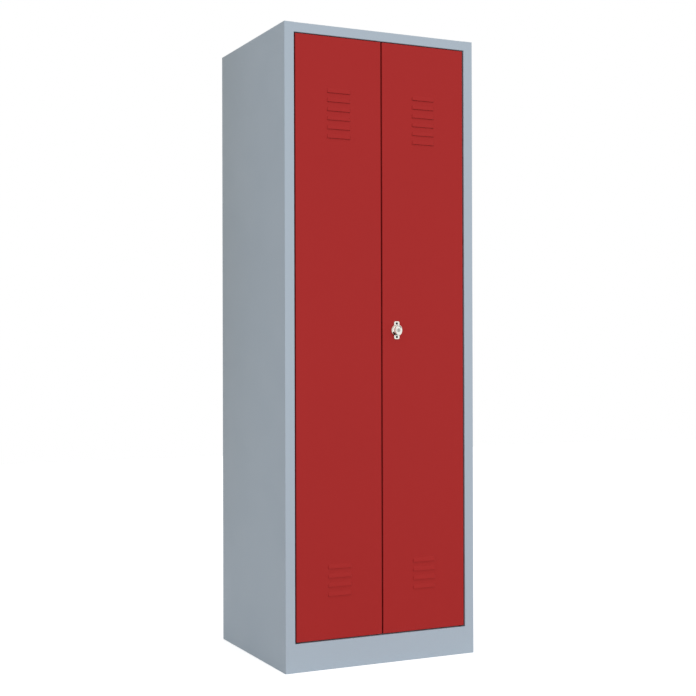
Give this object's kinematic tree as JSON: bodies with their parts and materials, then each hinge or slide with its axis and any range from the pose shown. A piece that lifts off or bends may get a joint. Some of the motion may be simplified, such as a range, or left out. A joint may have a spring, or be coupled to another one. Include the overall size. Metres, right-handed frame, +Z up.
{
  "type": "metal storage cabinet",
  "caption": "Tall free-standing sheet-steel storage cabinet with grey body, two red louvred doors on hidden pivots, turn-knob bar lock, shelves and a hanging compartment.",
  "frame": {"origin": "on the floor, under the middle of the steel box", "axes": "+Z up, +X to the right as seen from the front, the doors face -Y and open towards -Y"},
  "size_m": [0.6, 0.515, 1.8],
  "materials": {
    "grey_coat": "fine satin powder coat",
    "red_coat": "fine satin powder coat",
    "zinc_steel": "bright zinc plated",
    "bright_chrome": "polished chrome",
    "nickel": "satin nickel",
    "dark_screw": "black oxide",
    "black_nylon": "moulded nylon",
    "buffer_rubber": "soft rubber"
  },
  "bodies": {
    "carcass": {"left_side_panel": "grey_coat", "right_side_panel": "grey_coat", "top_panel": "grey_coat", "plinth_front": "grey_coat", "back_panel": "grey_coat", "floor_tray": "grey_coat", "centre_partition": "grey_coat", "plinth_gussets": "grey_coat", "header_gussets": "grey_coat", "hat_shelf": "grey_coat", "hat_shelf_rails": "grey_coat", "shelf_1": "grey_coat", "shelf_2": "grey_coat", "shelf_3": "grey_coat", "shelf_4": "grey_coat", "top_pivot_pins": "zinc_steel", "bottom_pivot_pins": "zinc_steel", "clothes_rail": "zinc_steel", "shelf_uprights": "zinc_steel", "shelf_clips": "zinc_steel", "rail_sockets": "black_nylon", "door_buffers": "buffer_rubber"},
    "left_door": {"left_door_panel": "red_coat", "left_door_stiffener": "red_coat", "left_door_bushes": "black_nylon", "bolt_guides": "black_nylon", "bolt_guide_fixings": "zinc_steel"},
    "top_bolt": {"top_bolt": "zinc_steel"},
    "bottom_bolt": {"bottom_bolt": "zinc_steel"},
    "right_door": {"right_door_panel": "red_coat", "right_door_stiffener": "red_coat", "right_door_bushes": "black_nylon", "rosette": "bright_chrome", "rosette_screws": "dark_screw", "rosette_nuts": "zinc_steel", "lock_plate": "zinc_steel", "knob_bush": "black_nylon", "rod_guides": "black_nylon", "rod_guide_fixings": "zinc_steel"},
    "knob": {"knob": "bright_chrome", "spindle": "zinc_steel", "driver_plate": "zinc_steel", "crank_pins": "zinc_steel", "spindle_nut": "zinc_steel"},
    "key_plug": {"key_plug": "nickel"},
    "upper_rod": {"upper_rod": "zinc_steel"},
    "lower_rod": {"lower_rod": "zinc_steel"}
  },
  "joints": [
    {"name": "left_door_swing", "type": "hinge", "parent": "carcass", "child": "left_door", "pos_m": [-0.26001, -0.2425, 0], "axis": [0, 0, -1], "range_deg": [0, 105]},
    {"name": "right_door_swing", "type": "hinge", "parent": "carcass", "child": "right_door", "pos_m": [0.26001, -0.2425, 0], "axis": [0, 0, 1], "range_deg": [0, 105]},
    {"name": "knob_turn", "type": "hinge", "parent": "right_door", "child": "knob", "pos_m": [0.0465, -0.249, 0.9485], "axis": [0, 1, 0], "range_deg": [0, 90]},
    {"name": "key_turn", "type": "hinge", "parent": "knob", "child": "key_plug", "pos_m": [0.0465, -0.249, 0.9485], "axis": [0, 1, 0], "range_deg": [0, 90]},
    {"name": "upper_rod_slide", "type": "slide", "parent": "right_door", "child": "upper_rod", "axis": [0, 0, 1], "range_m": [0, 0.0198]},
    {"name": "lower_rod_slide", "type": "slide", "parent": "right_door", "child": "lower_rod", "axis": [0, 0, -1], "range_m": [0, 0.0198]},
    {"name": "top_bolt_slide", "type": "slide", "parent": "left_door", "child": "top_bolt", "axis": [0, 0, 1], "range_m": [0, 0.018]},
    {"name": "bottom_bolt_slide", "type": "slide", "parent": "left_door", "child": "bottom_bolt", "axis": [0, 0, -1], "range_m": [0, 0.018]}
  ],
  "couplings": [
    {"joint": "knob_turn", "follows": "upper_rod_slide", "rad_per_m": 79.337},
    {"joint": "lower_rod_slide", "follows": "upper_rod_slide", "ratio": 1}
  ]
}
